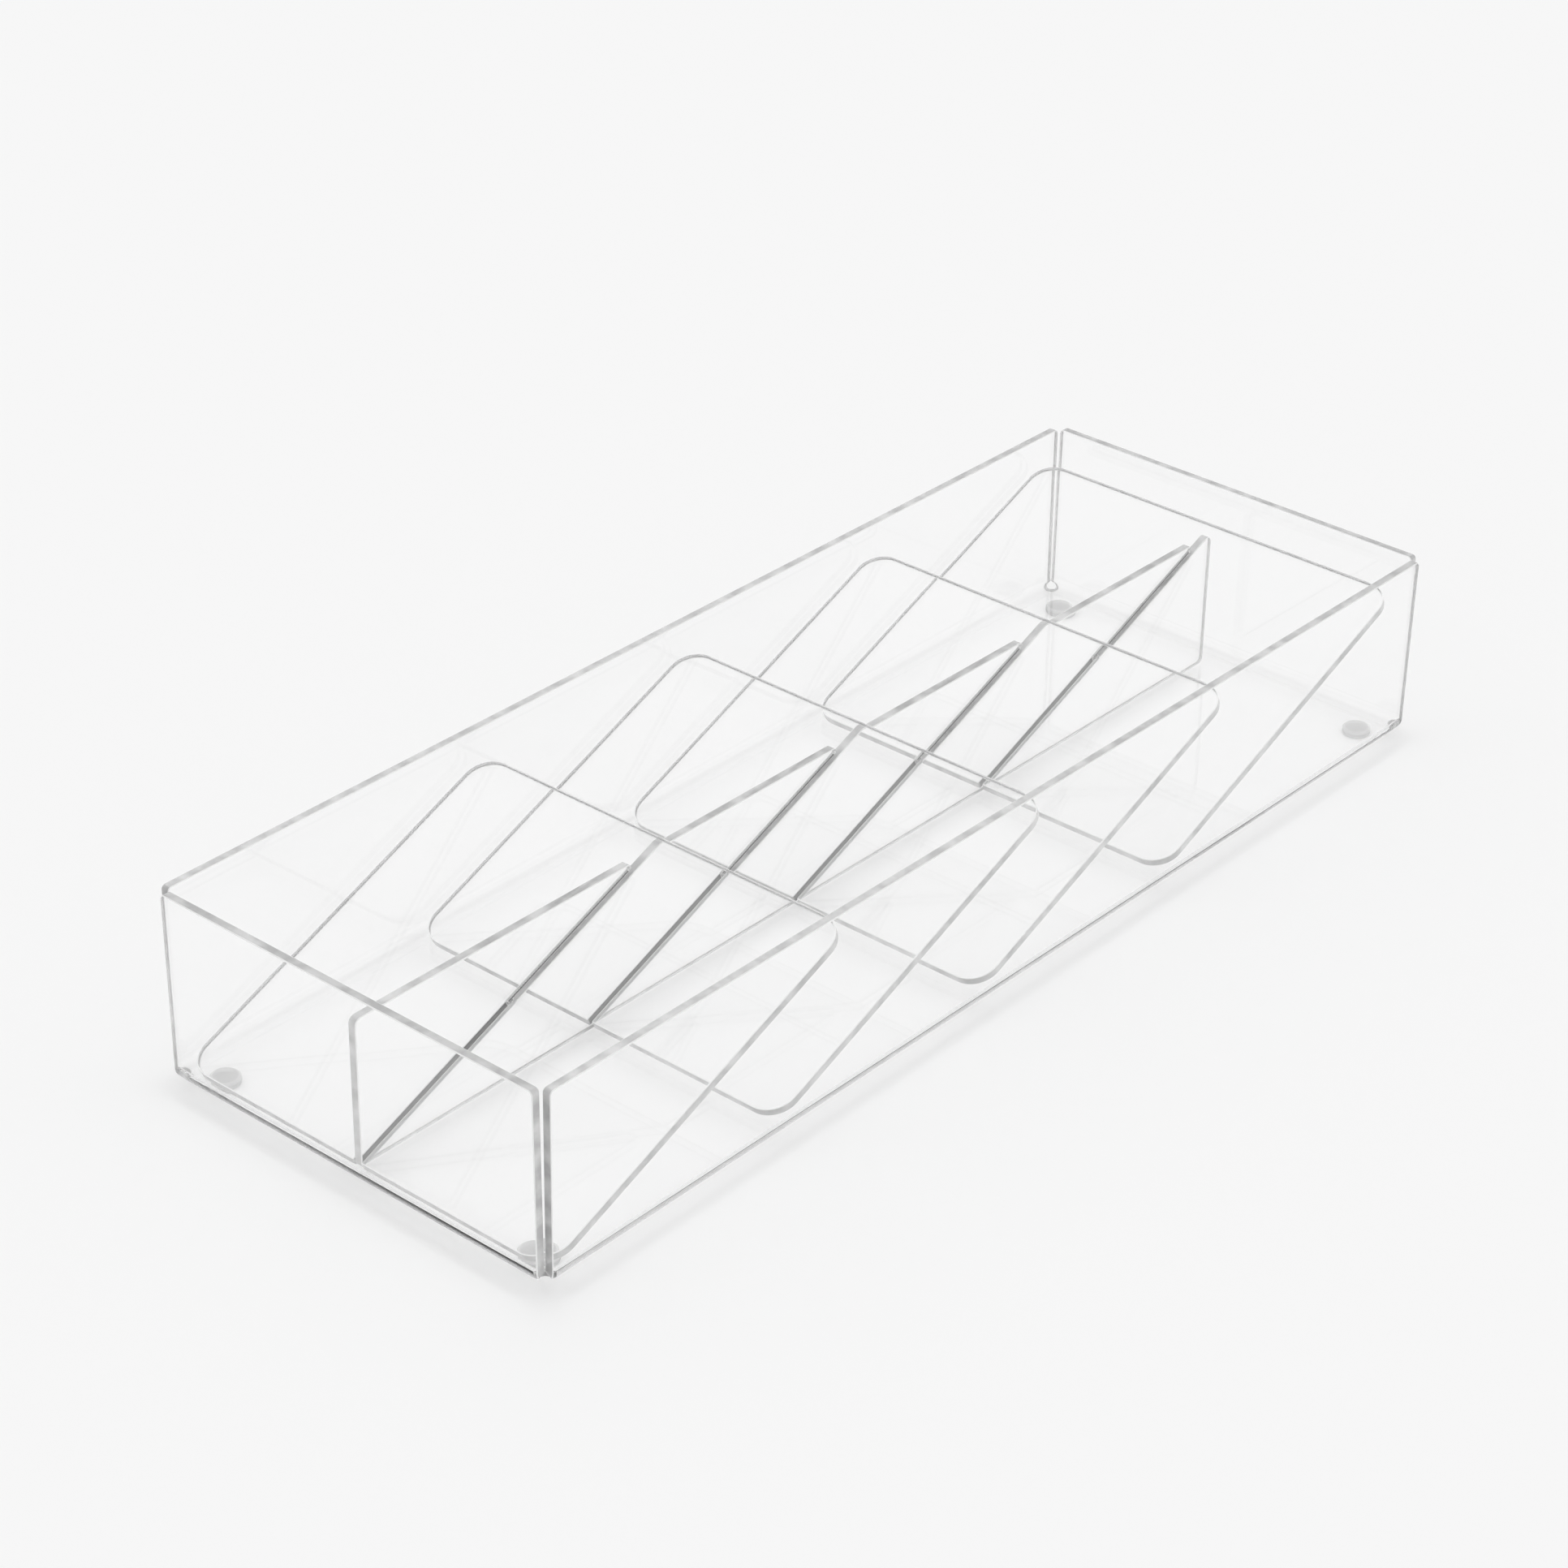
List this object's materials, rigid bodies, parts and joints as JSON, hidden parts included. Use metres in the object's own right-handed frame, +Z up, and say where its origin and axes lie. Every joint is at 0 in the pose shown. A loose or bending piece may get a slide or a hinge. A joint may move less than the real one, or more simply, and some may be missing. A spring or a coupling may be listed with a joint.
{
  "type": "display tray",
  "caption": "Low clear tray on bumper feet with a loose lift-out insert: a centre rib slotted to carry leaning divider plates that hold flat things in two columns.",
  "frame": {"origin": "middle of the footprint, on the surface that the feet stand on", "axes": "+X to the right across the tray, +Y from the front wall to the back wall, the way the dividers lean, +Z up"},
  "size_m": [0.205, 0.56, 0.0903],
  "materials": {
    "tray_acrylic": "clear polished sheet with cut edges",
    "rib_acrylic": "clear polished sheet with laser-cut edges",
    "divider_acrylic": "clear polished sheet with laser-cut edges",
    "bumper_polyurethane": "clear soft moulded"
  },
  "bodies": {
    "tray": {"tray": "tray_acrylic", "foot_front_left": "bumper_polyurethane", "foot_front_right": "bumper_polyurethane", "foot_back_left": "bumper_polyurethane", "foot_back_right": "bumper_polyurethane"},
    "insert": {"centre_rib": "rib_acrylic"},
    "divider_1": {"divider_1": "divider_acrylic"},
    "divider_2": {"divider_2": "divider_acrylic"},
    "divider_3": {"divider_3": "divider_acrylic"},
    "divider_4": {"divider_4": "divider_acrylic"}
  },
  "joints": [
    {"name": "insert_lift", "type": "slide", "parent": "tray", "child": "insert", "axis": [0, 0, 1], "range_m": [0, 0.09]},
    {"name": "divider_1_pull", "type": "slide", "parent": "insert", "child": "divider_1", "axis": [0, 0.9239, 0.3827], "range_m": [0, 0.175]},
    {"name": "divider_2_pull", "type": "slide", "parent": "insert", "child": "divider_2", "axis": [0, 0.9239, 0.3827], "range_m": [0, 0.175]},
    {"name": "divider_3_pull", "type": "slide", "parent": "insert", "child": "divider_3", "axis": [0, 0.9239, 0.3827], "range_m": [0, 0.175]},
    {"name": "divider_4_pull", "type": "slide", "parent": "insert", "child": "divider_4", "axis": [0, 0.9239, 0.3827], "range_m": [0, 0.012]}
  ]
}
